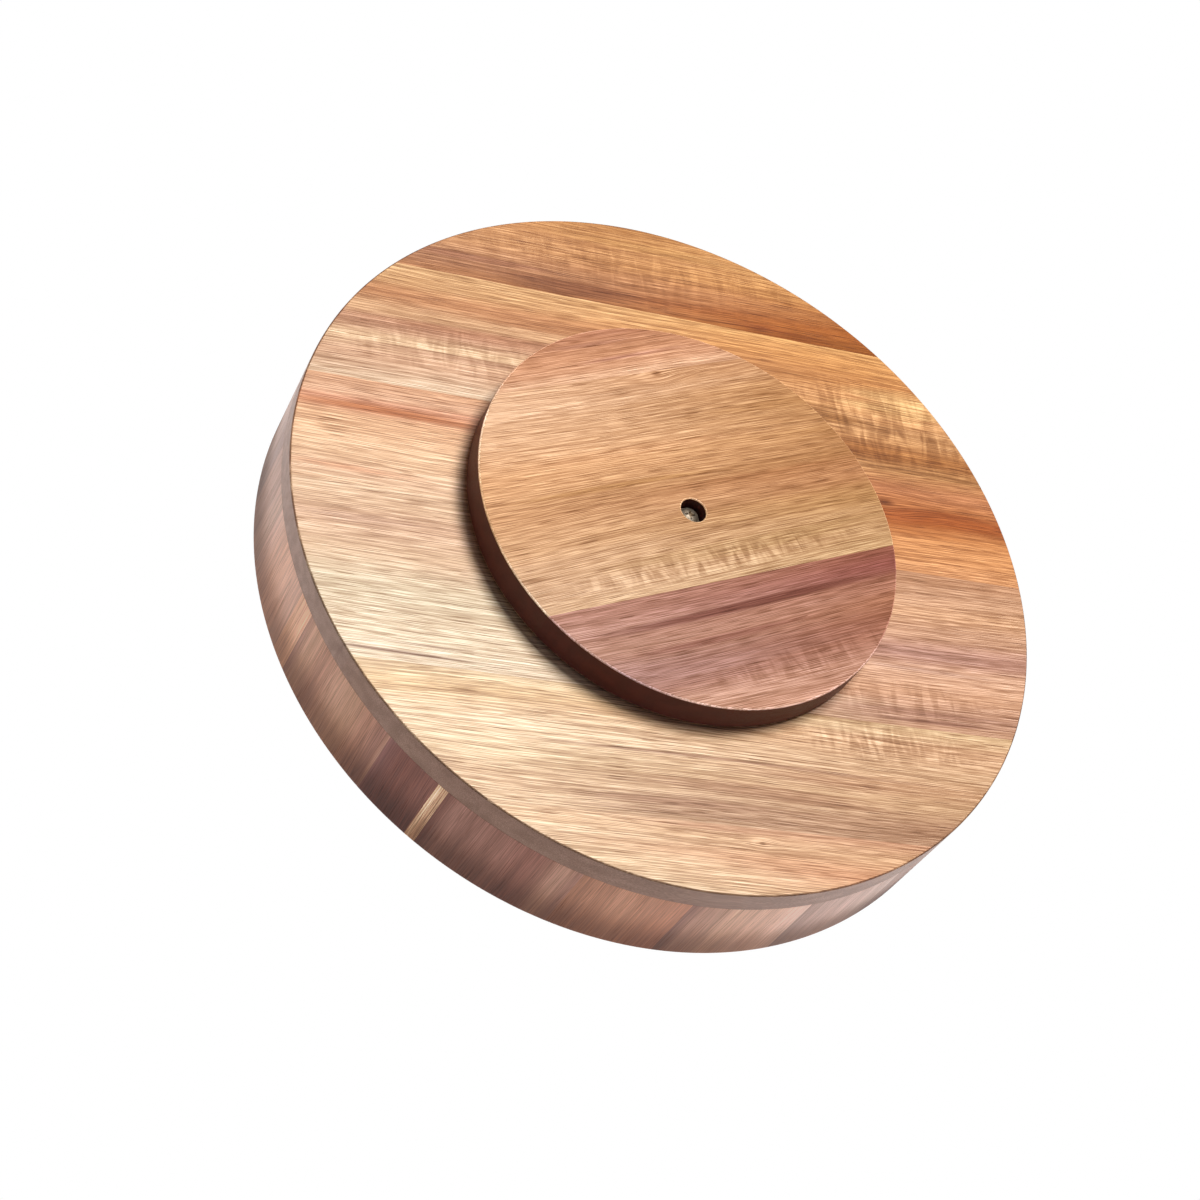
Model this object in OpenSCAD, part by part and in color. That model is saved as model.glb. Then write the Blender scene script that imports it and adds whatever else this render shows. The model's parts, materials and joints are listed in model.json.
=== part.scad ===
// Lazy susan turntable: a round foot, a ball race on a pivot screw, and a staved tray that turns on it.
// Millimetres. The origin is the centre of the foot's underside. +Z is the axis that the tray turns on.
// The tray's boards run along X.

/* [Tray] */
// Diameter over the wall
tray_d = 356; // [340:2:380]
// Thickness of the board at its edge, where the wall stands on it
board_t = 12.6; // [11.4:0.2:14]
// Height of the wall above the board's edge
wall_h = 44.4; // [30:0.2:60]
// Thickness of the wall
wall_t = 14; // [10:1:18]
// Height of the turned step that centres the wall on the board
step_h = 3; // [2.6:0.2:4]
// Width of the narrow strip that closes the ring of staves
closing_strip_w = 5.3; // [3:0.1:12]
// Direction of the joint at the strip's first side, seen from above
closing_strip_angle = -49; // [-180:1:180]
// Rounding of the wall's top edges
rim_ease = 2; // [1:0.25:3]
// Chamfer of the board's lower edge
board_ease = 0.6; // [0.4:0.1:1.2]

/* [Foot] */
// Diameter of the foot
foot_d = 201; // [180:1:220]
// Thickness of the foot
foot_t = 15.5; // [15:0.1:17]
// Gap between the foot and the tray
foot_gap = 1.5; // [1.2:0.1:1.8]
// Angle from the tray's boards to the foot's boards
foot_turn = -20.5; // [-45:0.5:45]
// Chamfer of the foot's outer edges
foot_ease = 0.7; // [0.4:0.1:1.2]

/* [Ball race] */
// Diameter of the circle that the balls run on
ball_circle_d = 110; // [108:1:120]
// Diameter of a ball
ball_d = 6.35; // [6:0.05:6.35]
// Number of balls
ball_count = 20; // [12:1:28]
// Radial width of a race ring on the side of the balls where its screws are
race_inner_w = 11; // [11:0.5:12]
// Radial width of a race ring on the other side of the balls
race_outer_w = 9; // [6:0.5:12]
// Thickness of a race ring
race_t = 3; // [2.8:0.1:3.2]
// Length of a race screw
race_screw_l = 11; // [8:0.5:12]

/* [Pivot] */
// Diameter of the hole in the foot that the pivot screw's head lies in
head_hole_d = 12; // [11.6:0.2:14]
// Depth of the pivot screw's head below the foot's underside
head_depth = 3.4; // [2.4:0.2:3.6]
// Diameter of the pivot screw's pan head
head_d = 8.8; // [8.4:0.2:9.6]
// Height of the pan head
head_h = 2.9; // [2.6:0.1:3.1]
// Diameter of the pivot screw
pivot_d = 5; // [4.5:0.1:5]
// Length of the pivot screw under its head
pivot_l = 19; // [17:0.5:20]

/* [Hidden] */
// Boards of the tray: where their glue joints lie across the grain, from +Y to -Y
tray_joints = [126, 55, -2, -87, -146];
// Boards of the foot: the same, in the foot's own turned axes
foot_joints = [74, -36.5];
// Staves of the wall: their widths as shares of the ring, clockwise from the closing strip
stave_shares = [20.5, 15.5, 18, 16, 20, 12, 19, 17, 14, 21, 18, 15, 22, 17, 19, 20, 18, 10.5, 13.5, 3.5, 19, 9.5];

// Tones of the wood, from pale sapwood to dark heartwood
tones = ["#d8b384", "#c08a58", "#a9714a", "#8b5a41", "#6b4034"];
tray_board_tones = [2, 1, 2, 1, 0, 1];
foot_board_tones = [2, 1, 3];
stave_tones = [4, 2, 3];

tray_r = tray_d / 2;
foot_r = foot_d / 2;
wall_inner_r = tray_r - wall_t;
tray_z = foot_t + foot_gap;
wall_z = tray_z + board_t;
floor_z = wall_z + step_h;
rim_z = wall_z + wall_h;

ball_r = ball_d / 2;
ball_circle_r = ball_circle_d / 2;
ball_z = foot_t + foot_gap / 2;
groove_clearance = 0.22;
groove_r = ball_r + groove_clearance;
race_spacing = 3.1;
race_in_r = ball_circle_r - race_inner_w;
race_out_r = ball_circle_r + race_outer_w;
lower_race_top = ball_z - race_spacing / 2;
upper_race_bottom = ball_z + race_spacing / 2;
pocket_clearance = 0.2;

cage_t = 1.6;
cage_w = 10;
cage_pocket_r = ball_r + 0.17;

race_screw_count = 4;
race_screw_r = 1.5;
race_screw_head_r = 2.8;
race_screw_head_h = 1.7;
race_screw_tip_h = 3;
race_screw_circle_r = ball_circle_r - 6.5;
race_screw_hole_r = race_screw_r + 0.1;
foot_screw_angle = 20;
tray_screw_angle = 45;

washer_t = 1;
washer_r = 5.2;
washer_hole_r = 2.7;
running_gap = 0.15;
bush_flange_t = 0.8;
bush_flange_r = 5.5;
bush_r = 4;
bush_clearance = 0.05;
pivot_r = pivot_d / 2;
washer_z = head_depth + head_h;
bush_z = washer_z + washer_t + running_gap;
head_hole_depth = bush_z + bush_flange_t;
hole_ease = 0.5;
recess_l = 4.6;
recess_w = 1;
recess_depth = 1.7;
recess_core_r = 1.2;
head_dome_r = 7.5;

insert_r = 4;
insert_flange_r = 5;
insert_flange_t = 1;
insert_l = 11;

slack = 1;
$fn = 96;

strip_arc = closing_strip_w / tray_r * 180 / PI;
share_total = sum_to(stave_shares, len(stave_shares));
first_stave_angle = closing_strip_angle - strip_arc;

tray_board_names = [for (i = [0 : len(tray_joints)]) str("tray_board_", i + 1)];
foot_board_names = [for (i = [0 : len(foot_joints)]) str("foot_board_", i + 1)];
stave_names = [for (i = [0 : len(stave_shares) - 1]) str("wall_stave_", i < 9 ? "0" : "", i + 1)];

// Sum of a list's first n values
function sum_to(values, n) = n == 0 ? 0 : values[n - 1] + sum_to(values, n - 1);

// Direction of the joint before stave i, which is the joint after stave i - 1
function stave_angle(i) = first_stave_angle - sum_to(stave_shares, i) / share_total * (360 - strip_arc);

// What a quarter round of radius e takes off a profile's corner at [r, z]; out and up, each 1 or -1,
// point out of the stock
module quarter_round(r, z, e, out, up) {
    translate([r, z])
        mirror([out < 0 ? 1 : 0, 0])
            mirror([0, up < 0 ? 1 : 0])
                difference() {
                    translate([-e, -e]) square(e + slack);
                    translate([-e, -e]) circle(e);
                }
}

// The same for a chamfer of width e
module chamfer(r, z, e, out, up) {
    translate([r, z])
        polygon([
            [-out * e, up * slack],
            [-out * e, 0],
            [0, -up * e],
            [out * slack, -up * e],
            [out * slack, up * slack]
        ]);
}

// A plain block of a profile, from radius r0 to r1 and from z0 to z1
module block(r0, z0, r1, z1) {
    translate([r0, z0]) square([r1 - r0, z1 - z0]);
}

// The part of its children that lies between two joints, y0 and y1, of a board glued up along X
module board_between(y0, y1, r, z0, z1) {
    intersection() {
        children();
        translate([-r - slack, y0, z0 - slack]) cube([2 * (r + slack), y1 - y0, z1 - z0 + 2 * slack]);
    }
}

// The part of its children that lies clockwise from one direction to another, less than 90 degrees on
module sector(from, to, z0, z1) {
    reach = 2 * tray_r;
    intersection() {
        children();
        translate([0, 0, z0 - slack])
            linear_extrude(z1 - z0 + 2 * slack)
                polygon([
                    [0, 0],
                    reach * [cos(from), sin(from)],
                    reach * [cos(to), sin(to)]
                ]);
    }
}

// A countersunk wood screw, head up, with the head's top at the origin
module wood_screw(r) {
    rotate_extrude()
        polygon([
            [0, 0],
            [race_screw_head_r, 0],
            [r, -race_screw_head_h],
            [r, race_screw_tip_h - race_screw_l],
            [0, -race_screw_l]
        ]);
}

// A race ring's screws: in the foot they stand head up, and in the tray head down
module race_screws(z, turn, head_down, r) {
    for (i = [0 : race_screw_count - 1])
        rotate(turn + i * 360 / race_screw_count)
            translate([race_screw_circle_r, 0, z])
                rotate([head_down ? 180 : 0, 0, 0])
                    wood_screw(r);
}

module race_ring(z0, z1) {
    rotate_extrude()
        difference() {
            block(race_in_r, z0, race_out_r, z1);
            translate([ball_circle_r, ball_z]) circle(groove_r);
        }
}

// The whole foot as it is turned and bored after glueing up
module foot_blank() {
    difference() {
        rotate_extrude()
            difference() {
                block(0, 0, foot_r, foot_t);
                chamfer(foot_r, 0, foot_ease, 1, -1);
                chamfer(foot_r, foot_t, foot_ease, 1, 1);
                block(race_in_r - pocket_clearance, lower_race_top - race_t,
                      race_out_r + pocket_clearance, foot_t + slack);
                block(0, -slack, head_hole_d / 2, head_hole_depth);
                chamfer(head_hole_d / 2, 0, hole_ease, -1, -1);
                block(0, 0, bush_r, foot_t + slack);
            }
        race_screws(lower_race_top, foot_turn + foot_screw_angle, false, race_screw_r);
    }
}

module foot_board(i) {
    y0 = i == len(foot_joints) ? -foot_r - slack : foot_joints[i];
    y1 = i == 0 ? foot_r + slack : foot_joints[i - 1];
    color(tones[foot_board_tones[i]])
        rotate(foot_turn)
            board_between(y0, y1, foot_r, 0, foot_t)
                rotate(-foot_turn)
                    foot_blank();
}

// The whole floor of the tray as it is turned and bored after glueing up
module tray_blank() {
    difference() {
        rotate_extrude()
            difference() {
                union() {
                    block(0, tray_z, tray_r, wall_z);
                    block(0, tray_z, wall_inner_r, floor_z);
                }
                chamfer(tray_r, tray_z, board_ease, 1, -1);
                block(race_in_r - pocket_clearance, tray_z - slack,
                      race_out_r + pocket_clearance, upper_race_bottom + race_t);
                block(0, tray_z - slack, insert_r, tray_z + insert_l);
                block(0, tray_z - slack, insert_flange_r, tray_z + insert_flange_t);
            }
        race_screws(upper_race_bottom, tray_screw_angle, true, race_screw_r);
    }
}

module tray_board(i) {
    y0 = i == len(tray_joints) ? -tray_r - slack : tray_joints[i];
    y1 = i == 0 ? tray_r + slack : tray_joints[i - 1];
    color(tones[tray_board_tones[i]])
        board_between(y0, y1, tray_r, tray_z, floor_z)
            tray_blank();
}

// The whole wall as it is turned after glueing up
module wall_blank() {
    rotate_extrude()
        difference() {
            block(wall_inner_r, wall_z, tray_r, rim_z);
            quarter_round(tray_r, rim_z, rim_ease, 1, 1);
            quarter_round(wall_inner_r, rim_z, rim_ease, -1, 1);
        }
}

module wall_stave(i) {
    color(tones[stave_tones[i % len(stave_tones)]])
        sector(stave_angle(i), stave_angle(i + 1), wall_z, rim_z)
            wall_blank();
}

module closing_strip() {
    color(tones[0])
        sector(closing_strip_angle, first_stave_angle, wall_z, rim_z)
            wall_blank();
}

module lower_race() {
    color("silver")
        difference() {
            race_ring(lower_race_top - race_t, lower_race_top);
            race_screws(lower_race_top, foot_turn + foot_screw_angle, false, race_screw_hole_r);
        }
}

module upper_race() {
    color("silver")
        difference() {
            race_ring(upper_race_bottom, upper_race_bottom + race_t);
            race_screws(upper_race_bottom, tray_screw_angle, true, race_screw_hole_r);
        }
}

module lower_race_screws() {
    color("gainsboro")
        race_screws(lower_race_top, foot_turn + foot_screw_angle, false, race_screw_r);
}

module upper_race_screws() {
    color("gainsboro")
        race_screws(upper_race_bottom, tray_screw_angle, true, race_screw_r);
}

module ball_cage() {
    color("ivory")
        difference() {
            rotate_extrude()
                block(ball_circle_r - cage_w / 2, ball_z - cage_t / 2,
                      ball_circle_r + cage_w / 2, ball_z + cage_t / 2);
            for (i = [0 : ball_count - 1])
                rotate(i * 360 / ball_count)
                    translate([ball_circle_r, 0, ball_z - cage_t])
                        cylinder(h = 2 * cage_t, r = cage_pocket_r);
        }
}

module bearing_balls() {
    color("lightsteelblue")
        for (i = [0 : ball_count - 1])
            rotate(i * 360 / ball_count)
                translate([ball_circle_r, 0, ball_z])
                    sphere(ball_r);
}

module pivot_bush() {
    color("goldenrod")
        rotate_extrude()
            difference() {
                union() {
                    block(0, bush_z, bush_flange_r, head_hole_depth);
                    block(0, bush_z, bush_r, foot_t);
                }
                block(0, bush_z - slack, pivot_r + bush_clearance, foot_t + slack);
            }
}

module pivot_washer() {
    color("gainsboro")
        rotate_extrude()
            block(washer_hole_r, washer_z, washer_r, washer_z + washer_t);
}

// A pan head with a cross recess, and a plain shank up into the insert
module pivot_screw() {
    color("silver")
        difference() {
            union() {
                intersection() {
                    translate([0, 0, head_depth]) cylinder(h = head_h, d = head_d);
                    translate([0, 0, head_depth + head_dome_r]) sphere(head_dome_r);
                }
                translate([0, 0, washer_z]) cylinder(h = pivot_l, r = pivot_r);
            }
            for (turn = [0, 90])
                rotate(turn)
                    translate([-recess_l / 2, -recess_w / 2, head_depth - slack])
                        cube([recess_l, recess_w, recess_depth + slack]);
            translate([0, 0, head_depth - slack]) cylinder(h = recess_depth + slack, r = recess_core_r);
        }
}

module threaded_insert() {
    color("goldenrod")
        rotate_extrude()
            difference() {
                union() {
                    block(0, tray_z, insert_r, tray_z + insert_l);
                    block(0, tray_z, insert_flange_r, tray_z + insert_flange_t);
                }
                block(0, tray_z - slack, pivot_r, tray_z + insert_l + slack);
            }
}

for (i = [0 : len(foot_board_names) - 1])
    foot_board(i);
lower_race();
lower_race_screws();
pivot_bush();
ball_cage();
bearing_balls();
upper_race();
upper_race_screws();
pivot_screw();
pivot_washer();
threaded_insert();
for (i = [0 : len(tray_board_names) - 1])
    tray_board(i);
for (i = [0 : len(stave_names) - 1])
    wall_stave(i);
closing_strip();
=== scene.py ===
"""The looks of the lazy susan turntable: acacia boards and staves, hardware, stage, light and camera.

The turntable stands on its foot at the origin, +Z up. The camera looks up at its underside through a
floor that only shows from above.
"""
import json
from functools import partial
from math import atan2, ceil, cos, degrees, hypot, pi, radians, sin, tau

import bmesh
import bpy
from mathutils import Matrix, Quaternion, Vector


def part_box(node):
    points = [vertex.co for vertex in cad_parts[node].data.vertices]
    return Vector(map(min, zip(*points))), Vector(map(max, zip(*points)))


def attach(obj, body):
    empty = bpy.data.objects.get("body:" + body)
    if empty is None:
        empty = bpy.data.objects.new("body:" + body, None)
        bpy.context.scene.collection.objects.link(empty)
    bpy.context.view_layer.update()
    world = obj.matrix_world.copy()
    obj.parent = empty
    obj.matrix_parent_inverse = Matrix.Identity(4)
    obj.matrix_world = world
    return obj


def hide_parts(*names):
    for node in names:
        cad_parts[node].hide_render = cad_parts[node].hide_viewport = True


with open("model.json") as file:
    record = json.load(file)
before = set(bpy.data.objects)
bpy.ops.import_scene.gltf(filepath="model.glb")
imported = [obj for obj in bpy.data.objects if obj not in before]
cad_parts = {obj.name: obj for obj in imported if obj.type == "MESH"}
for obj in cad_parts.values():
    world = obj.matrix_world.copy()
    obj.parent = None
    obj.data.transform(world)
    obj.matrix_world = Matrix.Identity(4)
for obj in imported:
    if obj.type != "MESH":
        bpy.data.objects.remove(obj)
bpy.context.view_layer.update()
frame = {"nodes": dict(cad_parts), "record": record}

# ---------------------------------------------------------------- sizes, in metres

MM = 0.001
STEP_DEG = 1.0  # arc between two rings of a turned mesh
ROUND_STEPS = 5  # flats in a rounded edge
FOOT_TURN = radians(-20.5)  # from the tray's boards to the foot's
FOOT_EASE = 1.1 * MM  # radius of a rounded arris, here and below
BOARD_EASE = 1.0 * MM
HOLE_EASE = 1.0 * MM
RIM_EASE = 2.0 * MM
SEAM_EASE = 0.12 * MM  # the fine line between the tray's floor and its wall
HARDWARE_EASE = 0.12 * MM
HARDWARE_SHARP = radians(40)  # its corners over this angle are bevelled
SHARP = radians(30)  # the wood's corners over this angle stay sharp
WELD = 1e-4 * MM


def points(node):
    """The corners of a CAD node's mesh."""
    return [v.co for v in frame["nodes"][node].data.vertices]


def radii(node):
    """(least, greatest) distance of a CAD node from the turntable's axis."""
    found = [hypot(p.x, p.y) for p in points(node)]
    return min(found), max(found)


def edges_of(node, turn):
    """(least, greatest) place of a CAD node across boards that run at angle turn."""
    found = [p.y * cos(turn) - p.x * sin(turn) for p in points(node)]
    return min(found), max(found)


def arc_of(node):
    """(first, last) angle of a CAD node seen from above, anticlockwise."""
    found = points(node)
    middle = sum(found, Vector()) / len(found)
    centre = atan2(middle.y, middle.x)
    turns = [(atan2(p.y, p.x) - centre + pi) % tau - pi for p in found]
    return centre + min(turns), centre + max(turns)


FOOT_BOARDS = [n for n in sorted(frame["nodes"]) if n.startswith("foot_board")]
TRAY_BOARDS = [n for n in sorted(frame["nodes"]) if n.startswith("tray_board")]
STAVES = [n for n in sorted(frame["nodes"]) if n.startswith("wall_stave")]

FOOT_R = max(radii(n)[1] for n in FOOT_BOARDS)
FOOT_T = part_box(FOOT_BOARDS[1])[1].z
TRAY_R = max(radii(n)[1] for n in TRAY_BOARDS)
TRAY_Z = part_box(TRAY_BOARDS[0])[0].z
FLOOR_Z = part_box(TRAY_BOARDS[0])[1].z
WALL_Z, RIM_Z = (corner.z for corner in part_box(STAVES[0]))
WALL_INNER_R = radii(STAVES[0])[0]
RACE_IN_R, RACE_OUT_R = radii("lower_race")
HEAD_HOLE_R = 6.0 * MM  # the screwdriver's hole in the foot
BUSH_R = 4.0 * MM
BUSH_FLANGE = 0.8 * MM
HEAD_HOLE_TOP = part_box("pivot_bush")[0].z + BUSH_FLANGE
INSERT_R = radii("threaded_insert")[1]
INSERT_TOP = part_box("threaded_insert")[1].z


# ---------------------------------------------------------------- turned meshes

def rounded(corner, before, after, ease):
    """Points of a rounded profile corner, on the way from the point before it to the point after it."""
    c, b, a = Vector(corner), Vector(before), Vector(after)
    to_b, to_a = (b - c).normalized(), (a - c).normalized()
    centre = c + (to_b + to_a) * ease
    found = []
    for i in range(ROUND_STEPS + 1):
        t = i / ROUND_STEPS * pi / 2
        found.append(centre - to_a * ease * cos(t) - to_b * ease * sin(t))
    return [tuple(p) for p in found]


def profile(corners):
    """A closed profile of (radius, height) points from (radius, height, ease) corners."""
    found = []
    for i, (r, z, ease) in enumerate(corners):
        if ease:
            before, after = corners[i - 1][:2], corners[(i + 1) % len(corners)][:2]
            found += rounded((r, z), before, after, ease)
        else:
            found.append((r, z))
    return found


def ring(bm, outline, angle):
    """The outline's vertices at one angle round the axis."""
    return [bm.verts.new((r * cos(angle), r * sin(angle), z)) for r, z in outline]


def bridge(bm, one, other):
    """Faces between two rings of the same closed outline."""
    for i in range(len(one)):
        bm.faces.new([one[i - 1], one[i], other[i], other[i - 1]])


def finish_mesh(name, bm):
    """An object from a bmesh, with smooth turned faces and sharp corners."""
    bmesh.ops.remove_doubles(bm, verts=bm.verts, dist=WELD)
    bmesh.ops.recalc_face_normals(bm, faces=bm.faces)
    mesh = bpy.data.meshes.new(name)
    bm.to_mesh(mesh)
    bm.free()
    mesh.shade_smooth()
    mesh.set_sharp_from_angle(angle=SHARP)
    piece = bpy.data.objects.new(name, mesh)
    bpy.context.scene.collection.objects.link(piece)
    weighted = piece.modifiers.new("weighted_normals", "WEIGHTED_NORMAL")
    weighted.keep_sharp = True
    return piece


def turned_board(name, outline, turn, y0, y1, whole_r):
    """One board of a turned disc: the part of it from y0 to y1 across boards that run at angle turn."""
    bm = bmesh.new()
    count = round(360 / STEP_DEG)
    rings = [ring(bm, outline, tau * i / count) for i in range(count)]
    for i in range(count):
        bridge(bm, rings[i - 1], rings[i])
    side = Vector((-sin(turn), cos(turn), 0))
    for y, outward in ((y0, -side), (y1, side)):
        if abs(y) < whole_r - 0.1 * MM:
            parts = bm.verts[:] + bm.edges[:] + bm.faces[:]
            cut = bmesh.ops.bisect_plane(
                bm, geom=parts, plane_co=side * y, plane_no=outward, clear_outer=True)
            edges = [e for e in cut["geom_cut"] if isinstance(e, bmesh.types.BMEdge)]
            bmesh.ops.edgenet_fill(bm, edges=edges)
    return finish_mesh(name, bm)


def turned_stave(name, outline, first, last):
    """A stave of a turned wall, from one angle to another."""
    bm = bmesh.new()
    count = max(2, ceil(degrees(last - first) / STEP_DEG))
    rings = [ring(bm, outline, first + (last - first) * i / count) for i in range(count + 1)]
    for one, other in zip(rings, rings[1:]):
        bridge(bm, one, other)
    bm.faces.new(rings[0])
    bm.faces.new(rings[-1])
    return finish_mesh(name, bm)


# ---------------------------------------------------------------- materials

WALL_SHADE_FROM = 36 * MM  # painted shade: the wall is darker from here up, towards its top edge
FIBRE_DEPTH = 0.1 * MM
SCRATCH_DEPTH = 0.03 * MM
GRIT_DEPTH = 0.05 * MM


def linear(colour):
    """A linear colour from a hex string such as "d8b384"."""
    values = [int(colour[i:i + 2], 16) / 255 for i in (0, 2, 4)]
    return (*(v / 12.92 if v <= 0.04045 else ((v + 0.055) / 1.055) ** 2.4 for v in values), 1.0)


class Nodes:
    """A node tree's nodes, made one line each."""

    def __init__(self, tree):
        self.tree = tree
        self.column = 0

    def node(self, kind, inputs=(), **settings):
        """A new node. inputs maps socket names or numbers to values or other nodes' output sockets."""
        made = self.tree.nodes.new("ShaderNode" + kind)
        self.column += 1
        made.location = (-220 * (self.column % 12) - 300, -260 * (self.column // 12))
        for key, value in settings.items():
            setattr(made, key, value)
        for key, value in dict(inputs).items():
            self.put(made.inputs[key], value)
        return made

    def put(self, socket, value):
        """A socket linked to another node's output, or set to a value."""
        if isinstance(value, bpy.types.NodeSocket):
            self.tree.links.new(value, socket)
        else:
            socket.default_value = value

    def maths(self, operation, a, b=0.0, c=0.0, clamp=False):
        return self.node("Math", {0: a, 1: b, 2: c}, operation=operation, use_clamp=clamp).outputs[0]

    def span(self, value, low, high, to_low=0.0, to_high=1.0):
        """value, taken from low..high to to_low..to_high with soft ends."""
        inputs = {0: value, 1: low, 2: high, 3: to_low, 4: to_high}
        return self.node("MapRange", inputs, interpolation_type="SMOOTHSTEP").outputs[0]

    def noise(self, place, stretch, detail=2.0, roughness=0.5, distortion=0.0):
        """Noise over place, with that many cells a metre along each axis."""
        scaled = self.node("VectorMath", {0: place, 1: stretch}, operation="MULTIPLY").outputs[0]
        inputs = {"Vector": scaled, "Scale": 1.0, "Detail": detail, "Roughness": roughness,
                  "Distortion": distortion}
        return self.node("TexNoise", inputs).outputs

    def ramp(self, value, stops):
        """A colour from value, by (place, linear colour) stops."""
        made = self.node("ValToRGB", {0: value})
        elements = made.color_ramp.elements
        made.color_ramp.interpolation = "EASE"
        while len(elements) < len(stops):
            elements.new(0.5)
        for element, (place, colour) in zip(elements, stops):
            element.position = place
            element.color = colour
        return made.outputs[0]

    def mix(self, share, a, b, blend="MIX"):
        """Colour a mixed with colour b."""
        made = self.node("Mix", data_type="RGBA", blend_type=blend)
        for socket, value in ((made.inputs[0], share), (made.inputs[6], a), (made.inputs[7], b)):
            self.put(socket, value)
        return made.outputs[2]

    def bright(self, colour, factor):
        """Colour times a number socket. Wood gets redder as it gets darker."""
        green = self.maths("POWER", factor, 1.3)
        blue = self.maths("POWER", factor, 1.6)
        tone = self.node("CombineColor", {0: factor, 1: green, 2: blue}).outputs[0]
        return self.mix(1.0, colour, tone, "MULTIPLY")


class Shader(Nodes):
    """A new material and its nodes."""

    def __init__(self, name):
        self.material = bpy.data.materials.new(name)
        self.material.use_nodes = True
        self.surface = self.material.node_tree.nodes["Principled BSDF"]
        super().__init__(self.material.node_tree)


def own_colour(seen, light, sheen):
    """The own colour of a wood that is seen as a hex colour in some light and under some sheen."""
    return (*(max((v - sheen) / share, 0.003) for v, share in zip(linear(seen), light)), 1.0)


def board_place(s, turn):
    """Place in a board whose grain runs at angle turn: (along the grain, across the board, depth)."""
    coords = s.node("TexCoord").outputs["Object"]
    return s.node("Mapping", {"Vector": coords, "Rotation": (0, 0, -turn)}).outputs[0]


def stave_place(s, centre):
    """Place in a stave whose middle is at angle centre: (up the grain, round the wall, outward)."""
    coords = s.node("TexCoord").outputs["Object"]
    turned = s.node("Mapping", {"Vector": coords, "Rotation": (0, 0, -centre)}).outputs[0]
    axes = s.node("SeparateXYZ", {0: turned}).outputs
    return s.node("CombineXYZ", {0: axes[2], 1: axes[1], 2: axes[0]}).outputs[0]


def spot(s, place, x, y, along, across):
    """(place seen from (x, y), how far that is in spot sizes)."""
    centred = s.node("VectorMath", {0: place, 1: (x, y, 0)}, operation="SUBTRACT").outputs[0]
    sizes = (1 / along, 1 / across, 0)
    scaled = s.node("VectorMath", {0: centred, 1: sizes}, operation="MULTIPLY").outputs[0]
    return centred, s.node("VectorMath", {0: scaled}, operation="LENGTH").outputs["Value"]


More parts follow.
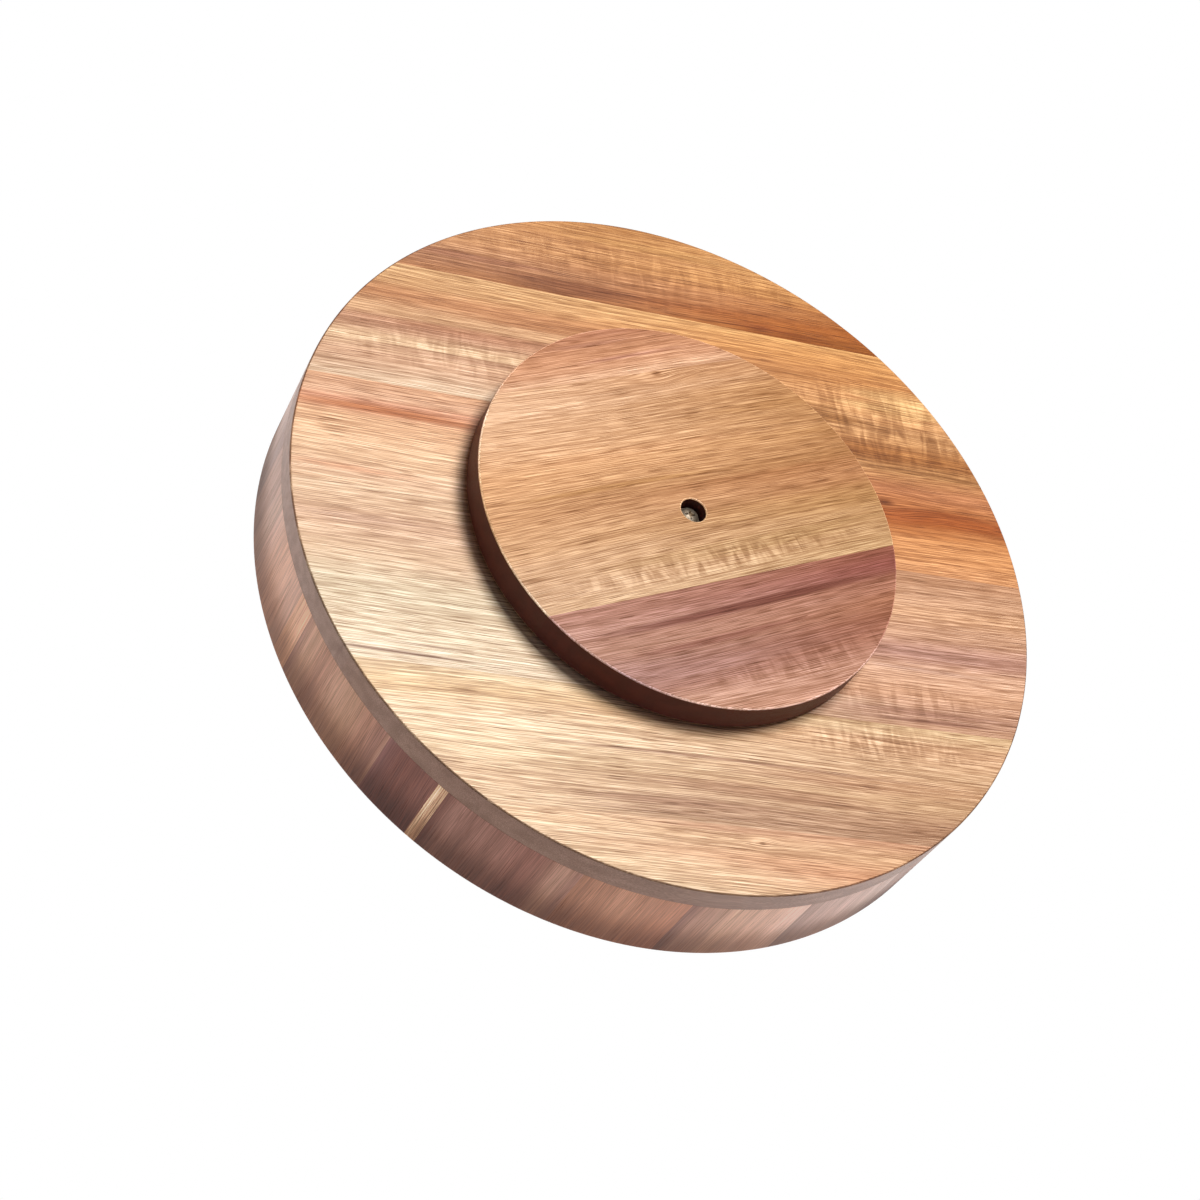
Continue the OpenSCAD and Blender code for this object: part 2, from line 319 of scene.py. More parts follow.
def wood(name, look, place_in, y0, y1, seed, studio, edge, edge_is_side):
    """Oiled acacia.

    place_in puts (along, across, depth) into a shader. The board runs from y0 to y1 across. look
    holds its colours: stops from y0 to y1 at its two ends ("left" and "right"), and soft "marks",
    "ripples" and "knots" in their places. seed moves the pattern. studio is (light, sheen, specular
    level). edge is (colour, share) of the darker cut faces, the sides or else the top and bottom,
    and how bright the arrises are painted: above 1 worn paler with a painted highlight, below 1 painted
    shade.
    """
    light, sheen, gloss = studio
    s = Shader(name)
    place = place_in(s)
    offset = (1.7 * seed % 7.3, 2.9 * seed % 5.1, 4.3 * seed % 6.7)

    # grain bends round the knots and wanders a few millimetres across the board along its length
    bent = place
    for x, y, r in look.get("knots", []):
        centred, far = spot(s, place, x, y, 2.4 * r, r)
        pull = s.span(far, 0.0, 4.5, -0.65, 0.0)
        across_only = s.node("VectorMath", {0: centred, 1: (0, 1, 0)}, operation="MULTIPLY").outputs[0]
        push = s.node("VectorMath", {0: across_only, "Scale": pull}, operation="SCALE").outputs[0]
        bent = s.node("VectorMath", {0: bent, 1: push}, operation="ADD").outputs[0]
    own = s.node("VectorMath", {0: bent, 1: offset}, operation="ADD").outputs[0]
    wander = s.noise(own, (4.0, 12.0, 12.0), 1.0)["Color"]
    centred = s.node("VectorMath", {0: wander, 1: (0.5, 0.5, 0.5)}, operation="SUBTRACT").outputs[0]
    shift = s.node("VectorMath", {0: centred, 1: (0.0, 0.012, 0.0)}, operation="MULTIPLY").outputs[0]
    grain = s.node("VectorMath", {0: own, 1: shift}, operation="ADD").outputs[0]
    warped = s.node("VectorMath", {0: bent, 1: shift}, operation="ADD").outputs[0]
    axes = s.node("SeparateXYZ", {0: warped}).outputs

    # colour bands across the board, from one end's to the other's
    slow = s.noise(grain, (2.0, 60.0, 60.0), 3.0, 0.55)["Fac"]
    where = s.node("MapRange", {0: axes[1], 1: y0, 2: y1}).outputs[0]
    ragged = s.maths("MULTIPLY", s.maths("SUBTRACT", slow, 0.5), 0.009 / (y1 - y0))
    where = s.maths("ADD", where, ragged)
    colour = s.ramp(where, [(at, own_colour(seen, light, sheen)) for at, seen in look["left"]])
    # the +X end's paler stops: the wood's own tone and painted light
    if "right" in look:
        other = s.ramp(where, [(at, own_colour(seen, light, sheen)) for at, seen in look["right"]])
        along = s.maths("ADD", axes[0], s.maths("MULTIPLY", s.maths("SUBTRACT", slow, 0.5), 0.25))
        colour = s.mix(s.span(along, -0.11, 0.11), colour, other)

    # streaks a few millimetres wide, along the grain
    medium = s.noise(grain, (5.0, 210.0, 210.0), 2.0, 0.4)["Fac"]
    for x, y, along, across, seen, share in look.get("marks", []):
        far = spot(s, warped, x, y, along, across)[1]
        far = s.maths("ADD", far, s.maths("MULTIPLY", s.maths("SUBTRACT", medium, 0.5), 2.2))
        colour = s.mix(s.span(far, 0.25, 1.15, share, 0.0), colour, own_colour(seen, light, sheen))
    streaks = look.get("streaks", 0.22)
    colour = s.bright(colour, s.span(medium, 0.30, 0.70, 1 - 0.30 * streaks, 1 + 0.24 * streaks))
    fine = look.get("fine", 1.0)
    hair = s.noise(grain, (18.0, 3200.0, 3200.0), 0.0)["Fac"]
    colour = s.bright(colour, s.span(hair, 0.34, 0.66, 1 - 0.26 * fine, 1 + 0.20 * fine))
    fibre = s.noise(grain, (80.0, 4300.0, 4300.0), 0.0)["Fac"]
    colour = s.bright(colour, s.span(fibre, 0.34, 0.66, 1 - 0.22 * fine, 1 + 0.20 * fine))

    # growth lines and open pores
    growth = s.noise(grain, (2.6, 110.0, 110.0), 2.0, 0.45)["Fac"]
    off_line = s.maths("ABSOLUTE", s.maths("SUBTRACT", growth, 0.5))
    line = s.span(off_line, 0.0, 0.009, 1.0, 0.0)
    colour = s.bright(colour, s.span(line, 0.0, 1.0, 1.0, 0.80))
    pore_noise = s.noise(grain, (60.0, 3600.0, 3600.0), 0.0)["Fac"]
    patch = s.noise(grain, (12.0, 90.0, 90.0), 2.0)["Fac"]
    pore = s.span(s.maths("ADD", pore_noise, s.maths("MULTIPLY", patch, 0.24)), 0.74, 0.82)
    colour = s.bright(colour, s.span(pore, 0.0, 1.0, 1.0, 1 - 0.45 * fine))

    # ripple figure: short bars across the grain
    for x, y, along, across, share in look.get("ripples", []):
        bars = s.noise(grain, (170.0, 42.0, 42.0), 2.0, 0.55, 0.8)["Fac"]
        far = spot(s, warped, x, y, along, across)[1]
        far = s.maths("ADD", far, s.maths("MULTIPLY", s.maths("SUBTRACT", slow, 0.5), 1.6))
        strength = s.span(far, 0.2, 1.2, 0.26 * share, 0.0)
        swing = s.maths("MULTIPLY", s.span(bars, 0.36, 0.64, -1.0, 0.9), strength)
        colour = s.bright(colour, s.maths("ADD", swing, 1.0))
    for x, y, r in look.get("knots", []):
        far = spot(s, place, x, y, 2.0 * r, r)[1]
        colour = s.bright(colour, s.span(far, 0.1, 1.0, 0.45, 1.0))
        ring_of_light = s.span(s.maths("ABSOLUTE", s.maths("SUBTRACT", far, 1.9)), 0.0, 1.0, 1.12, 1.0)
        colour = s.bright(colour, ring_of_light)

    # cut faces drink more oil and are darker; on the foot's side darker still as painted shade
    normal = s.node("SeparateXYZ", {0: s.node("TexCoord").outputs["Normal"]}).outputs[2]
    turning = (0.10, 0.45) if edge_is_side else (0.35, 0.95)
    flat = s.span(s.maths("ABSOLUTE", normal), *turning)
    cut = s.maths("SUBTRACT", 1.0, flat) if edge_is_side else flat
    seen, share, arris = edge
    grey = s.bright(linear(seen), s.span(medium, 0.30, 0.70, 0.88, 1.12))
    grey = s.bright(grey, s.span(fibre, 0.30, 0.70, 0.82, 1.14))
    colour = s.mix(s.maths("MULTIPLY", cut, share), colour, grey)

    # arrises: where arris is above 1, worn paler with a painted highlight and smoother; below 1,
    # painted shade and rougher
    slope = s.maths("ABSOLUTE", normal)
    arris_band = s.maths("MULTIPLY", s.span(slope, 0.15, 0.5), s.span(slope, 0.86, 0.985, 1.0, 0.0))
    arris_band = s.maths("MULTIPLY", arris_band, s.span(patch, 0.3, 0.55, 0.4, 1.0))
    colour = s.bright(colour, s.span(arris_band, 0.0, 1.0, 1.0, arris))
    rough = s.maths("ADD", s.span(fibre, 0.30, 0.70, 0.40, 0.52), s.maths("MULTIPLY", pore, 0.15))
    rough = s.maths("ADD", rough, s.maths("MULTIPLY", arris_band, -0.24 if arris > 1 else 0.25))
    if not edge_is_side:
        # painted shade: darker towards the top edge of the wall, which is also rougher there
        wall_top_shade = s.span(s.node("SeparateXYZ", {0: place}).outputs[0], WALL_SHADE_FROM, RIM_Z)
        colour = s.bright(colour, s.span(wall_top_shade, 0.0, 1.0, 1.0, 0.42))
        rough = s.maths("ADD", rough, s.maths("MULTIPLY", wall_top_shade, 0.25))
    height = s.maths("ADD", s.maths("MULTIPLY", fibre, 0.35), s.maths("MULTIPLY", pore, -0.8))
    height = s.maths("ADD", height, s.maths("MULTIPLY", medium, 0.3))
    bump = s.node("Bump", {"Strength": 0.3, "Distance": FIBRE_DEPTH, "Height": height}).outputs[0]
    s.put(s.surface.inputs["Base Color"], colour)
    s.put(s.surface.inputs["Roughness"], rough)
    s.put(s.surface.inputs["Normal"], bump)
    s.surface.inputs["Specular IOR Level"].default_value = gloss
    return s.material


def metal(name, colour, dark, roughness, seed):
    """Plated or machined metal with fine scratches, dull spots and a little tarnish."""
    s = Shader(name)
    place = s.node("TexCoord").outputs["Object"]
    own = s.node("VectorMath", {0: place, 1: (seed, 2 * seed, 0)}, operation="ADD").outputs[0]
    cloud = s.noise(own, (160.0, 160.0, 160.0), 4.0, 0.6)["Fac"]
    scratch = s.noise(own, (300.0, 2600.0, 900.0), 3.0)["Fac"]
    tarnish = s.span(cloud, 0.35, 0.75)
    s.put(s.surface.inputs["Base Color"], s.mix(tarnish, linear(colour), linear(dark)))
    rough = s.span(scratch, 0.3, 0.7, roughness - 0.06, roughness + 0.08)
    rough = s.maths("ADD", rough, s.maths("MULTIPLY", tarnish, 0.12))
    s.put(s.surface.inputs["Roughness"], rough)
    bump = s.node("Bump", {"Strength": 0.25, "Distance": SCRATCH_DEPTH, "Height": scratch}).outputs[0]
    s.put(s.surface.inputs["Normal"], bump)
    s.surface.inputs["Metallic"].default_value = 1.0
    return s.material


def nylon(name, colour, dark):
    """Moulded nylon: faint mottling and a fine moulded texture."""
    s = Shader(name)
    place = s.node("TexCoord").outputs["Object"]
    cloud = s.noise(place, (120.0, 120.0, 120.0), 3.0)["Fac"]
    grit = s.noise(place, (2400.0, 2400.0, 2400.0), 2.0)["Fac"]
    mottled = s.mix(s.span(cloud, 0.3, 0.7), linear(colour), linear(dark))
    s.put(s.surface.inputs["Base Color"], mottled)
    s.put(s.surface.inputs["Roughness"], s.span(grit, 0.3, 0.7, 0.42, 0.60))
    bump = s.node("Bump", {"Strength": 0.2, "Distance": GRIT_DEPTH, "Height": grit}).outputs[0]
    s.put(s.surface.inputs["Normal"], bump)
    return s.material


def give(piece, material):
    """The piece's one material."""
    if piece.data.materials:
        for i in range(len(piece.data.materials)):
            piece.data.materials[i] = material
    else:
        piece.data.materials.append(material)


# ---------------------------------------------------------------- the wood

# How each piece looks in the photograph. Stops run across a board from its -Y edge to its +Y edge,
# "left" at its -X end and "right" at its +X end. The +X ends' paler stops hold the wood's own tone
# and painted light, where the light falls brighter on that side. Marks are (x, y, half length, half
# width, colour, share), ripples the same without a colour, and knots (x, y, radius).
TRAY_LOOKS = [
    {
        "left": [(0.0, "a4643c"), (0.15, "b06a40"), (0.35, "b87648"), (0.5, "cf925c"),
                 (0.75, "d29862"), (1.0, "c88c58")],
        "right": [(0.0, "c48a62"), (0.15, "b88260"), (0.3, "cc946c"), (0.5, "d69c6e"),
                  (0.8, "ce9262"), (1.0, "c68c5c")],
        "marks": [
            (-0.062, 0.130, 0.040, 0.0045, "904e2e", 0.7),
            (0.035, 0.133, 0.035, 0.006, "845440", 0.7),
            (0.090, 0.139, 0.040, 0.0025, "9a6450", 0.6),
            (-0.020, 0.165, 0.060, 0.004, "dca468", 0.5),
        ],
        "ripples": [(0.0, 0.150, 0.120, 0.020, 0.5)],
    },
    {
        "left": [(0.0, "c08a5c"), (0.15, "b4784c"), (0.32, "cf9868"), (0.52, "dca06c"),
                 (0.72, "ce8e5a"), (0.86, "dc9c62"),
                 (1.0, "e2a86c")],
        "right": [(0.0, "ecc8a4"), (0.2, "d8a884"), (0.35, "eac096"), (0.5, "cf9a78"), (0.62, "deac80"),
                  (0.78, "c88c62"), (0.9, "deaa78"), (1.0, "e0ae7c")],
        "marks": [
            (-0.085, 0.083, 0.025, 0.007, "8f5a34", 0.6),
            (-0.135, 0.074, 0.030, 0.005, "9c6840", 0.3),
            (-0.105, 0.064, 0.030, 0.004, "9c6440", 0.5),
            (-0.130, 0.096, 0.030, 0.010, "ecbc80", 0.6),
            (0.100, 0.093, 0.060, 0.0035, "b87c5c", 0.6),
            (0.090, 0.075, 0.060, 0.003, "b98468", 0.5),
            (0.055, 0.105, 0.040, 0.003, "b4744c", 0.5),
            (-0.045, 0.105, 0.035, 0.006, "b87c50", 0.6),
        ],
        "ripples": [(-0.120, 0.080, 0.070, 0.030, 1.0), (0.100, 0.080, 0.060, 0.020, 0.6)],
    },
    {
        "left": [(0.0, "dc9c6c"), (0.2, "dd9a66"), (0.38, "d08c5a"), (0.5, "b46c44"), (0.62, "c07a4e"),
                 (0.8, "c4825a"), (1.0, "cc9262")],
        "right": [(0.0, "e4b890"), (0.12, "ecc09a"), (0.3, "f0c298"), (0.6, "f0bc90"), (0.72, "e0a078"),
                  (0.78, "dc9c78"), (0.86, "e8b48e"), (1.0, "dca47c")],
        "marks": [
            (-0.140, 0.031, 0.055, 0.0050, "a45838", 0.7),
            (-0.120, 0.023, 0.045, 0.0060, "b86c40", 0.45),
            (0.130, 0.0405, 0.055, 0.0034, "b4683e", 0.75),
            (0.150, 0.007, 0.040, 0.0025, "cc8860", 0.6),
        ],
        "knots": [(-0.112, 0.036, 0.0035)],
    },
    {
        "left": [(0.0, "c89878"), (0.08, "cc9c80"), (0.2, "dca884"), (0.35, "e0ae8c"), (0.45, "c89680"),
                 (0.6, "d8a684"), (0.75, "dca880"), (0.88, "d4a27e"), (1.0, "c89470")],
        "right": [(0.0, "ecd0ae"), (0.2, "eed2ae"), (0.4, "e6cca8"), (0.6, "e2ba94"), (0.8, "e8bc98"),
                  (0.92, "e2b892"), (1.0, "e8c09a")],
        "marks": [
            (-0.120, -0.047, 0.050, 0.0025, "b48674", 0.6),
            (-0.110, -0.056, 0.050, 0.002, "b48a78", 0.5),
            (-0.110, -0.079, 0.045, 0.0022, "94644f", 0.6),
            (-0.120, -0.084, 0.040, 0.0016, "7c4c40", 0.6),
            (0.150, -0.020, 0.030, 0.003, "c89c80", 0.5),
            (0.135, -0.0815, 0.038, 0.0011, "8c6450", 0.8),
            (0.120, -0.0765, 0.030, 0.0008, "a07c64", 0.7),
        ],
        "ripples": [(-0.100, -0.075, 0.050, 0.012, 0.6)],
    },
    {
        "left": [(0.0, "c09474"), (0.2, "b98c6c"), (0.35, "d0a47c"), (0.5, "d8a880"), (0.6, "d8ac84"),
                 (0.85, "dcac84"), (1.0, "dcb488")],
        "right": [(0.0, "e8c29a"), (0.2, "e6be96"), (0.4, "efcca2"), (0.6, "f4d0a8"),
                  (0.8, "f0c898"), (1.0, "eccaa0")],
        "marks": [
            (0.000, -0.115, 0.110, 0.0012, "a4765c", 0.7),
            (0.020, -0.137, 0.070, 0.0045, "a4765c", 0.7),
            (-0.020, -0.127, 0.060, 0.0035, "b07e62", 0.4),
            (-0.060, -0.119, 0.050, 0.0030, "a87456", 0.4),
        ],
        "ripples": [(-0.090, -0.096, 0.060, 0.012, 0.9)],
    },
    {
        "left": [(0.0, "d0986c"), (0.3, "dca078"), (0.7, "dcaa80"), (1.0, "cc9674")],
        "right": [(0.0, "f2d0a8"), (0.3, "f2cca2"), (0.6, "f2cea6"), (0.8, "ecc298"), (1.0, "e8c098")],
        "marks": [(0.000, -0.149, 0.040, 0.002, "c08c6c", 0.5)],
        "knots": [(-0.019, -0.153, 0.0011)],
    },
]
# The foot's places are in its own boards' axes
FOOT_LOOKS = [
    {
        "left": [(0.0, "e0ae88"), (0.2, "d49c76"), (0.45, "cc926c"), (0.7, "c48a66"), (1.0, "c08464")],
        "marks": [
            (0.000, 0.083, 0.045, 0.0018, "a87060", 0.7),
            (0.010, 0.092, 0.030, 0.0015, "a06c58", 0.5),
        ],
    },
    {
        "left": [(0.0, "c49a6c"), (0.06, "c09468"), (0.18, "be9062"), (0.24, "b88858"),
                 (0.38, "b88056"),
                 (0.5, "ac784c"), (0.7, "ba8656"), (0.85, "be8a5c"), (1.0, "ca966c")],
        "right": [(0.0, "dcb48c"), (0.08, "dab08a"), (0.2, "d8ac84"), (0.3, "d4a478"), (0.45, "d29e70"),
                  (0.6, "dea878"), (0.8, "eaba90"), (0.92, "f2c49c"), (1.0, "ecbe96")],
        "marks": [
            (-0.010, -0.022, 0.080, 0.006, "b8905c", 0.35),
            (-0.040, 0.012, 0.050, 0.002, "a87048", 0.5),
            (0.020, 0.034, 0.060, 0.004, "e4ac7c", 0.4),
            (0.030, 0.018, 0.060, 0.0016, "b8844e", 0.5),
        ],
        "ripples": [(0.000, -0.027, 0.080, 0.009, 1.0)],
        "knots": [(-0.0175, 0.0725, 0.0022)],
    },
    {
        "left": [(0.0, "c8947a"), (0.2, "b8846c"), (0.45, "9c644c"), (0.6, "a87054"), (0.75, "a46c54"),
                 (0.85, "92564a"), (1.0, "9c624e")],
        "right": [(0.0, "dcaa8c"), (0.22, "ca9a80"), (0.35, "b48676"), (0.5, "aa7e70"),
                  (0.7, "b88a74"), (0.85, "c0907c"), (1.0, "b07e6a")],
        "marks": [
            (-0.010, -0.0480, 0.085, 0.0020, "744034", 0.8),
            (0.020, -0.060, 0.050, 0.002, "8c5448", 0.5),
            (-0.020, -0.085, 0.040, 0.002, "cf9a80", 0.5),
        ],
        "ripples": [(-0.020, -0.080, 0.060, 0.010, 0.6)],
    },
]
STRIP_LOOK = {
    "left": [(0.0, "dcb898"), (0.3, "d4ac8c"), (0.7, "e4c4a4"), (1.0, "d8b090")],
    "streaks": 0.9,
}
# The staves that the photograph shows, by number
STAVE_STOPS = {
    1: [(0.0, "9c7466"), (0.12, "b08876"), (0.3, "94685c"), (0.6, "946c60"), (0.85, "9c7468"),
        (1.0, "80584e")],
    2: [(0.0, "b07c64"), (0.5, "b4846c"), (1.0, "a87a64")],
    3: [(0.0, "c4a090"), (0.3, "c09884"), (0.6, "bc947e"), (0.85, "a8806e"), (1.0, "8c665a")],
    4: [(0.0, "a4887c"), (0.5, "ac8c80"), (1.0, "9c7c70")],
    17: [(0.0, "90746a"), (0.5, "a08478"), (1.0, "947468")],
    18: [(0.0, "a48474"), (0.5, "9c7c6e"), (1.0, "a08072")],
    19: [(0.0, "b08a78"), (0.5, "bc927c"), (1.0, "b08c7c")],
    20: [(0.0, "cca084"), (1.0, "c89c80")],
    21: [(0.0, "987062"), (0.15, "aa7e6a"), (0.3, "b48c74"), (0.45, "b8907a"), (0.7, "a87e6a"),
         (0.85, "b48c74"),
         (1.0, "9c7464")],
    22: [(0.0, "885e54"), (0.6, "84594f"), (0.85, "88605a"), (0.9, "a8806e"), (1.0, "946a5c")],
}
# The rest, in turn
OTHER_STOPS = [
    [(0.0, "a07060"), (0.4, "b48470"), (0.7, "a87864"), (1.0, "b88c78")],
    [(0.0, "8a5c4a"), (0.3, "966a56"), (0.7, "825442"), (1.0, "90624e")],
    [(0.0, "c09880"), (0.5, "b08870"), (1.0, "c4a088")],
    [(0.0, "94705f"), (0.3, "a88070"), (0.6, "8c665c"), (1.0, "9c7868")],
    [(0.0, "b07c60"), (0.5, "c08c70"), (1.0, "a87860")],
]
# Cut faces: colour, share, and how bright the arrises are painted (above 1 a painted highlight, below 1
# painted shade)
BOARD_EDGE = ("ac7e6a", 0.85, 0.36)
# The foot's side: oiled end grain, darkened further as painted shade
FOOT_EDGE = ("501408", 0.97, 1.8)
RIM_EDGE = ("7c5446", 0.5, 1.15)
# The studio: its light on a piece, the piece's sheen in it, and its specular level
FOOT_STUDIO = ((1.33, 1.29, 1.22), 0.013, 0.2)
TRAY_STUDIO = ((1.36, 1.29, 1.19), 0.032, 0.5)
SEEN_STAVE_STUDIO = ((0.48, 0.48, 0.48), 0.045, 0.5)
OTHER_STAVE_STUDIO = ((0.85, 0.85, 0.85), 0.045, 0.5)


def slot_of(node):
    """The record's material slot of a CAD node."""
    rows = frame["record"]["subparts"]
    return next(row["material_slot"] for row in rows if row["node"] == node)


def put_board(node, outline, turn, whole_r, body, look, seed, edge, studio):
    """One board of the foot or of the tray's floor."""
    y0, y1 = edges_of(node, turn)
    place_in = partial(board_place, turn=turn)
    material = wood(node + "_acacia", look, place_in, y0, y1, seed, studio, edge, True)
    piece = turned_board(node + "_wood", outline, turn, y0, y1, whole_r)
    give(piece, material)
    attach(piece, body)
    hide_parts(node)


def make_foot():
    race_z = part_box("lower_race")[0].z
    outline = profile([
        (HEAD_HOLE_R, 0, HOLE_EASE),
        (FOOT_R, 0, FOOT_EASE),
        (FOOT_R, FOOT_T, FOOT_EASE),
        (RACE_OUT_R, FOOT_T, 0),
        (RACE_OUT_R, race_z, 0),
        (RACE_IN_R, race_z, 0),
        (RACE_IN_R, FOOT_T, 0),
        (BUSH_R, FOOT_T, 0),
        (BUSH_R, HEAD_HOLE_TOP, 0),
        (HEAD_HOLE_R, HEAD_HOLE_TOP, 0),
    ])
    for i, node in enumerate(FOOT_BOARDS):
        look, seed = FOOT_LOOKS[i], 31 + 7 * i
        put_board(node, outline, FOOT_TURN, FOOT_R, "foot", look, seed, FOOT_EDGE, FOOT_STUDIO)


def make_tray_floor():
    race_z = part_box("upper_race")[1].z
    outline = profile([
        (INSERT_R, TRAY_Z, 0),
        (RACE_IN_R, TRAY_Z, 0),
        (RACE_IN_R, race_z, 0),
        (RACE_OUT_R, race_z, 0),
        (RACE_OUT_R, TRAY_Z, 0),
        (TRAY_R, TRAY_Z, BOARD_EASE),
        (TRAY_R, WALL_Z, SEAM_EASE),
        (WALL_INNER_R, WALL_Z, 0),
        (WALL_INNER_R, FLOOR_Z, 0),
        (0, FLOOR_Z, 0),
        (0, INSERT_TOP, 0),
        (INSERT_R, INSERT_TOP, 0),
    ])
    for i, node in enumerate(TRAY_BOARDS):
        look, seed = TRAY_LOOKS[i], 3 + 5 * i
        put_board(node, outline, 0.0, TRAY_R, "tray", look, seed, BOARD_EDGE, TRAY_STUDIO)


def make_wall():
    outline = profile([
        (WALL_INNER_R, WALL_Z, 0),
        (TRAY_R, WALL_Z, SEAM_EASE),
        (TRAY_R, RIM_Z, RIM_EASE),
        (WALL_INNER_R, RIM_Z, RIM_EASE),
    ])
    for node in STAVES + ["closing_strip"]:
        number = int(node[-2:]) if node in STAVES else 0
        stops = STAVE_STOPS.get(number, OTHER_STOPS[number % len(OTHER_STOPS)])
        look = {"left": stops, "streaks": 0.34, "fine": 0.5} if number else STRIP_LOOK
        studio = SEEN_STAVE_STUDIO if number in STAVE_STOPS or not number else OTHER_STAVE_STUDIO
        put_stave(node, outline, look, 60 + 11 * number, studio)


def put_stave(node, outline, look, seed, studio):
    """One stave of the wall, or the strip that closes it."""
    first, last = arc_of(node)
    half = TRAY_R * sin((last - first) / 2)
    place_in = partial(stave_place, centre=(first + last) / 2)
    material = wood(node + "_acacia", look, place_in, -half, half, seed, studio, RIM_EDGE, False)
    piece = turned_stave(node + "_wood", outline, first, last)
    give(piece, material)
    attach(piece, "tray")
    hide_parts(node)


def make_hardware():
    """Finishes for the CAD's own hardware, and its edges broken."""
    # zinc plate's tone, made warmer and darker as painted reflection of the brown wood round it
    zinc = metal("zinc_plate", "a49684", "64584a", 0.50, 1.0)
    steel = metal("polished_steel", "dcdcdc", "bcbcbc", 0.12, 2.0)
    brass = metal("machined_brass", "d8b56a", "a88444", 0.26, 3.0)
    plastic = nylon("moulded_nylon", "e6e0d2", "d2cbb8")
    finishes = {"zinc_steel": zinc, "polished_steel": steel, "brass": brass, "nylon": plastic}
    for node, piece in frame["nodes"].items():
        finish = finishes.get(slot_of(node))
        if finish:
            give(piece, finish)
            edge = piece.modifiers.new("worn_edges", "BEVEL")
            edge.width = HARDWARE_EASE
            edge.segments = 2
            edge.limit_method = "ANGLE"
            edge.angle_limit = HARDWARE_SHARP


# ---------------------------------------------------------------- stage, light and camera

FLOOR_SIZE = 12
FLOOR_GAP = 0.3 * MM  # keeps the floor off the foot's face
MIDDLE = Vector((0, 0, 0.03))  # what most lights look at
TRAY_CORNER = Vector((0.20, -0.20, 0.017))
GLINT_RUN = Vector((0.882, 0.469, -0.04))  # the way the strip light lies


def make_floor():
    """A plain pale floor that only shows from above, so that the camera can look up through it."""
    bpy.ops.mesh.primitive_plane_add(size=FLOOR_SIZE, location=(0, 0, -FLOOR_GAP))
    floor = bpy.context.object
    floor.name = "floor"
    s = Shader("floor")
    back = s.node("NewGeometry").outputs["Backfacing"]
    clear = s.node("BsdfTransparent").outputs[0]
    s.surface.inputs["Base Color"].default_value = (0.80, 0.79, 0.78, 1)
    s.surface.inputs["Roughness"].default_value = 0.6
    shown = s.node("MixShader", {0: back, 1: s.surface.outputs[0], 2: clear}).outputs[0]
    s.tree.links.new(shown, s.tree.nodes["Material Output"].inputs[0])
    floor.data.materials.append(s.material)
    floor.visible_diffuse = floor.visible_glossy = floor.visible_shadow = False


def softbox(name, direction, distance, size, power, target=MIDDLE):
    """A square area light that looks at the target from a direction."""
    data = bpy.data.lights.new(name, "AREA")
    data.size = size
    data.energy = power
    light = bpy.data.objects.new(name, data)
    bpy.context.scene.collection.objects.link(light)
    toward = Vector(direction).normalized()
    light.location = target + toward * distance
    light.rotation_mode = "QUATERNION"
    light.rotation_quaternion = toward.to_track_quat("Z", "Y")
    return light


def make_light():
    """The softboxes. The key light isn't mirrored: small ones of their own make the gloss."""
    key = softbox("key", (-0.22, 0.20, -0.95), 3.0, 1.1, 152)
    key.visible_glossy = False
    gloss = softbox("gloss", (-0.25, 0.43, -0.87), 1.3, 0.5, 8, TRAY_CORNER)
    gloss.visible_diffuse = False

    # a strip along the foot's lower left arris
    glint = softbox("arris_glint", (0.217, -0.486, -0.847), 1.0, 2.2, 22)
    glint.data.shape = "RECTANGLE"
    glint.data.size_y = 0.1
    away = (glint.location - MIDDLE).normalized()
    side = (GLINT_RUN - away * GLINT_RUN.dot(away)).normalized()
    glint.rotation_quaternion = Matrix((side, away.cross(side), away)).transposed().to_quaternion()
    glint.visible_diffuse = False

    softbox("top", (-0.25, 0.25, 0.93), 1.8, 1.0, 4)


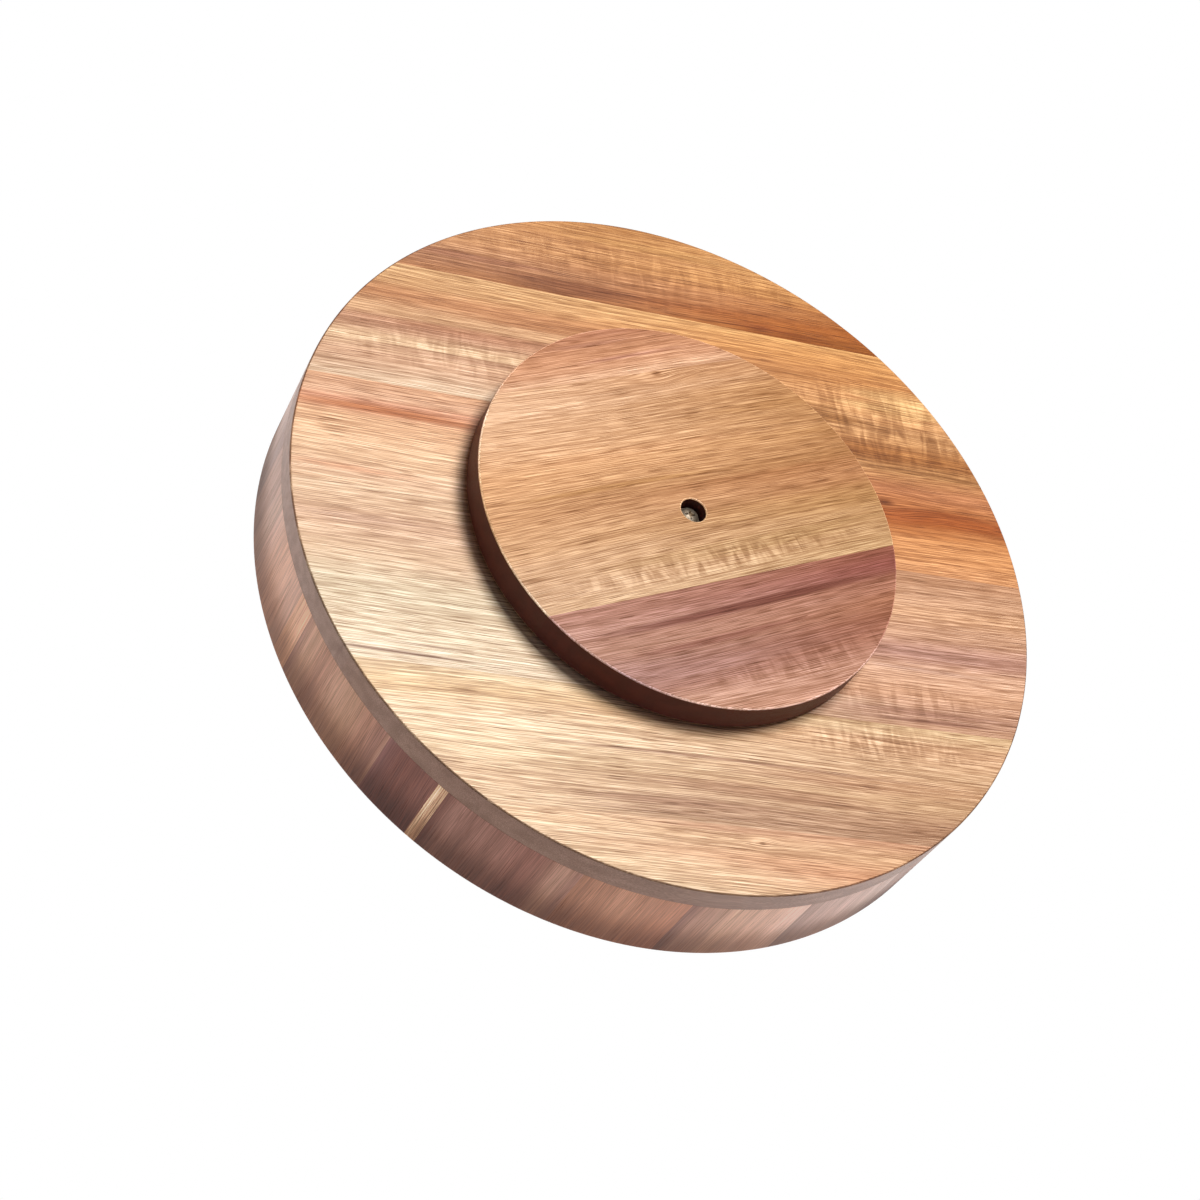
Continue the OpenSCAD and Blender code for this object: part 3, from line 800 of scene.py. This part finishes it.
def make_dome():
    """The world: white to the camera, pale above, warm and dim below, dimmer to the camera's side."""
    world = bpy.data.worlds.new("studio")
    bpy.context.scene.world = world
    world.use_nodes = True
    w = Nodes(world.node_tree)
    toward = w.node("TexCoord").outputs["Generated"]
    height = w.node("SeparateXYZ", {0: toward}).outputs[2]
    fade = w.node("MapRange", {0: height, 1: -0.25, 2: 0.35, 3: 0.05, 4: 1.15}).outputs[0]
    lean = {0: toward, 1: (0.58, -0.81, 0)}
    front = w.node("VectorMath", lean, operation="DOT_PRODUCT").outputs["Value"]
    dim = w.node("MapRange", {0: front, 1: -0.1, 2: 0.6, 3: 1.2, 4: 0.35}).outputs[0]
    path = w.node("LightPath").outputs
    more = w.node("MapRange", {0: path["Is Diffuse Ray"], 3: 1.0, 4: 1.9}).outputs[0]
    lit = w.maths("MULTIPLY", w.maths("MULTIPLY", fade, dim), more)
    shown = w.node("Mix", {0: path["Is Camera Ray"], 2: lit, 3: 1.0}).outputs[0]
    white = w.maths("MAXIMUM", fade, path["Is Camera Ray"])
    warm = w.mix(white, (1.0, 0.70, 0.52, 1), (1, 1, 1, 1))
    background = w.tree.nodes["Background"]
    w.put(background.inputs["Strength"], shown)
    w.put(background.inputs["Color"], warm)


def make_camera():
    """The photograph's view: from below, with the camera rolled well over."""
    data = bpy.data.cameras.new("camera")
    data.sensor_width = 36
    data.lens = 69.84
    camera = bpy.data.objects.new("camera", data)
    bpy.context.scene.collection.objects.link(camera)
    azimuth, elevation, roll, distance = radians(34.88), radians(-49.16), radians(143.97), 0.9941
    aim = Vector((42.3 * MM, -43.1 * MM, TRAY_Z))
    back = Vector((sin(azimuth) * cos(elevation), -cos(azimuth) * cos(elevation), sin(elevation)))
    camera.location = aim + back * distance
    camera.rotation_mode = "QUATERNION"
    camera.rotation_quaternion = back.to_track_quat("Z", "Y") @ Quaternion((0, 0, 1), -roll)
    data.clip_start = 0.02
    data.clip_end = 50
    bpy.context.scene.camera = camera


make_foot()
make_tray_floor()
make_wall()
make_hardware()
make_floor()
make_light()
make_dome()
make_camera()
bpy.context.scene.view_settings.view_transform = "Standard"
